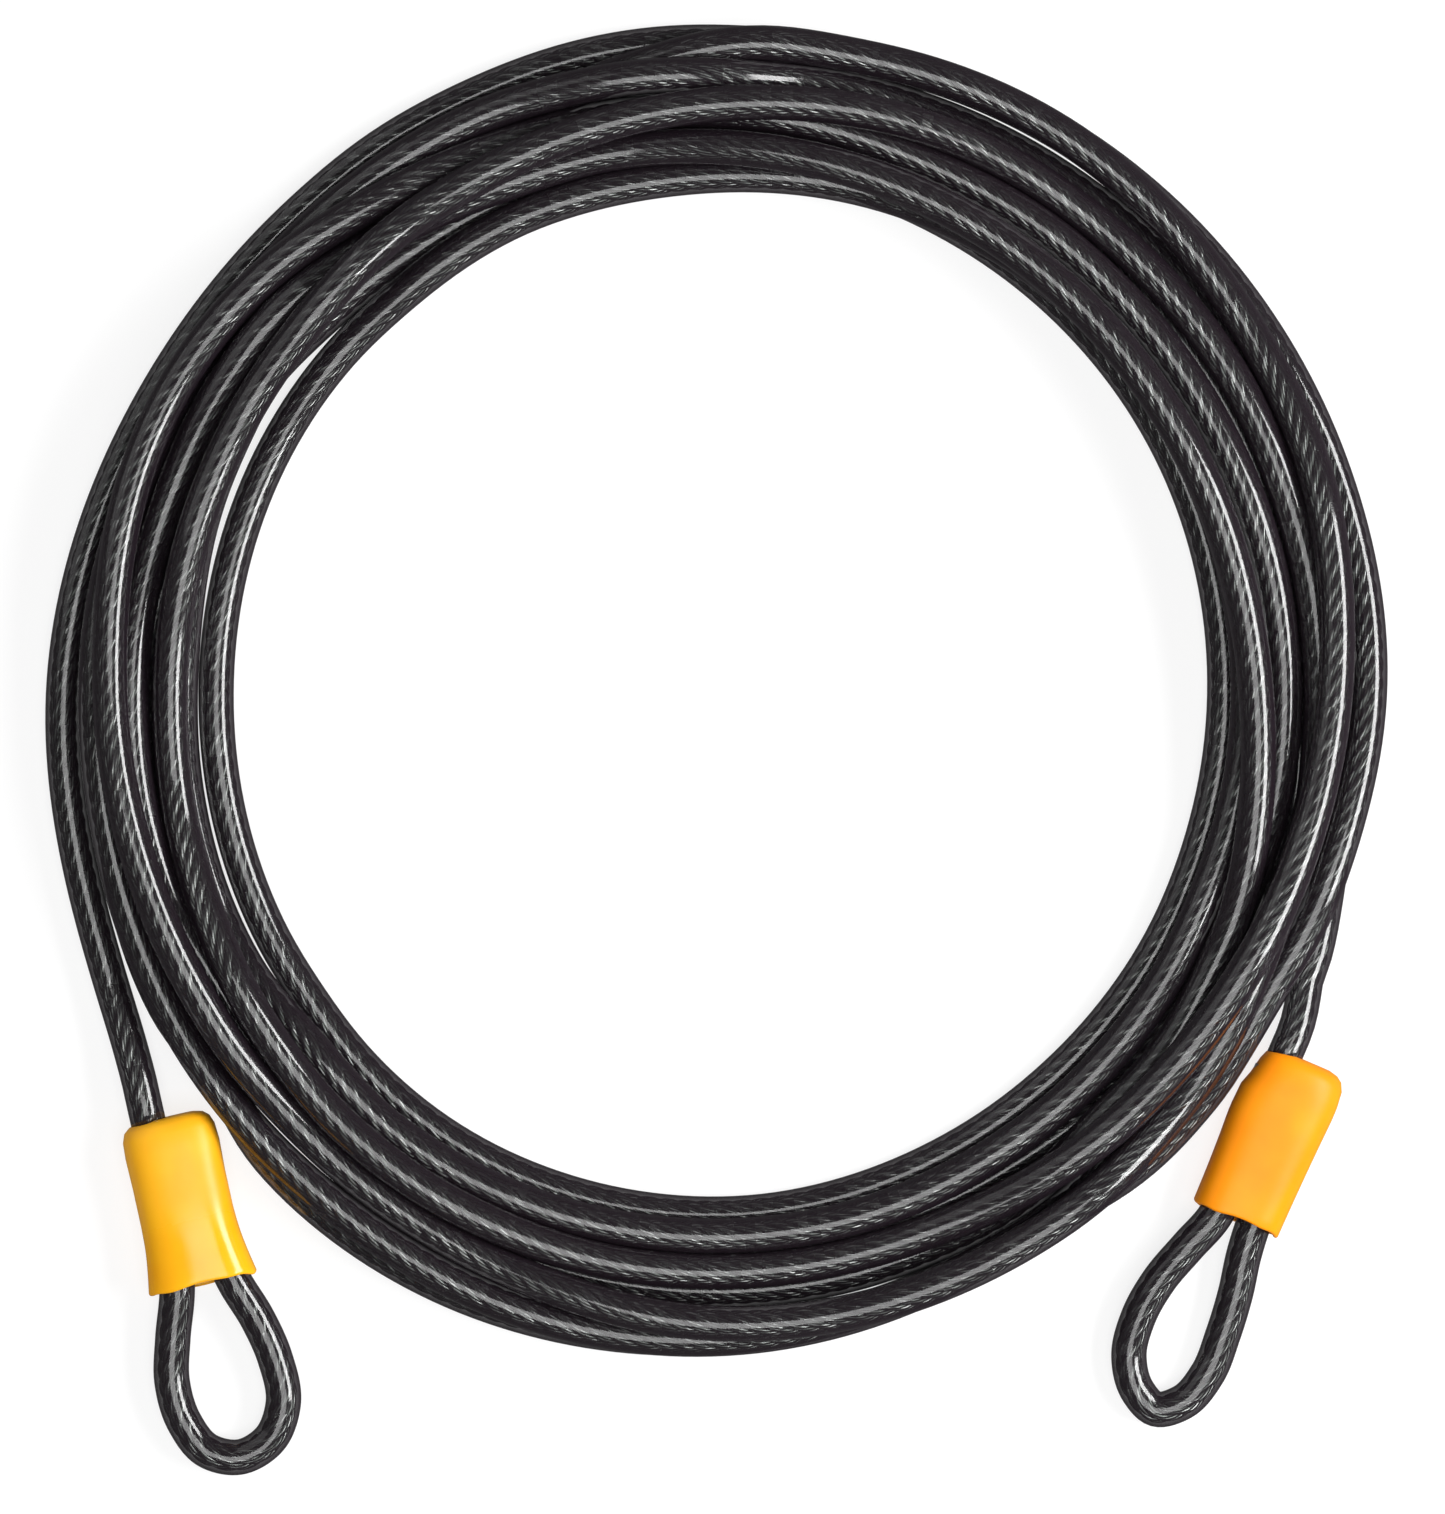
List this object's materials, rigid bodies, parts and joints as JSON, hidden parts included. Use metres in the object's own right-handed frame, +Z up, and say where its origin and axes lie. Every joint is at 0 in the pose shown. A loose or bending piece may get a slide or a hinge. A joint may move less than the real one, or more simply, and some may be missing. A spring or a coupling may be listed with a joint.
{
  "type": "double-loop security cable",
  "caption": "Coiled steel security cable in a smoke vinyl jacket, with a crimped loop under an orange sleeve at each end.",
  "frame": {"origin": "centre of the object's bounding box, on the surface that the coil lies on", "axes": "+Z up, out of the flat coil; -Y towards the two end loops; +X to the right, seen from above"},
  "size_m": [0.374, 0.4071, 0.03],
  "materials": {
    "jacketed_cable": "glossy near-black smoke vinyl over a steel rope",
    "smoke_vinyl": "glossy translucent smoke vinyl",
    "steel_strand": "bright drawn galvanised wire",
    "ferrule_alloy": "plain pressed aluminium",
    "sleeve_plastic": "satin to glossy yellow-orange soft plastic"
  },
  "bodies": {
    "root": {"cable_coil": "jacketed_cable", "left_tail": "jacketed_cable", "right_tail": "jacketed_cable", "left_sleeve": "sleeve_plastic", "right_sleeve": "sleeve_plastic", "left_ferrule": "ferrule_alloy", "right_ferrule": "ferrule_alloy", "left_eye_jacket": "smoke_vinyl", "right_eye_jacket": "smoke_vinyl", "left_eye_core_strand": "steel_strand", "right_eye_core_strand": "steel_strand", "left_eye_strand_1": "steel_strand", "left_eye_strand_2": "steel_strand", "left_eye_strand_3": "steel_strand", "left_eye_strand_4": "steel_strand", "left_eye_strand_5": "steel_strand", "left_eye_strand_6": "steel_strand", "right_eye_strand_1": "steel_strand", "right_eye_strand_2": "steel_strand", "right_eye_strand_3": "steel_strand", "right_eye_strand_4": "steel_strand", "right_eye_strand_5": "steel_strand", "right_eye_strand_6": "steel_strand"}
  },
  "joints": []
}
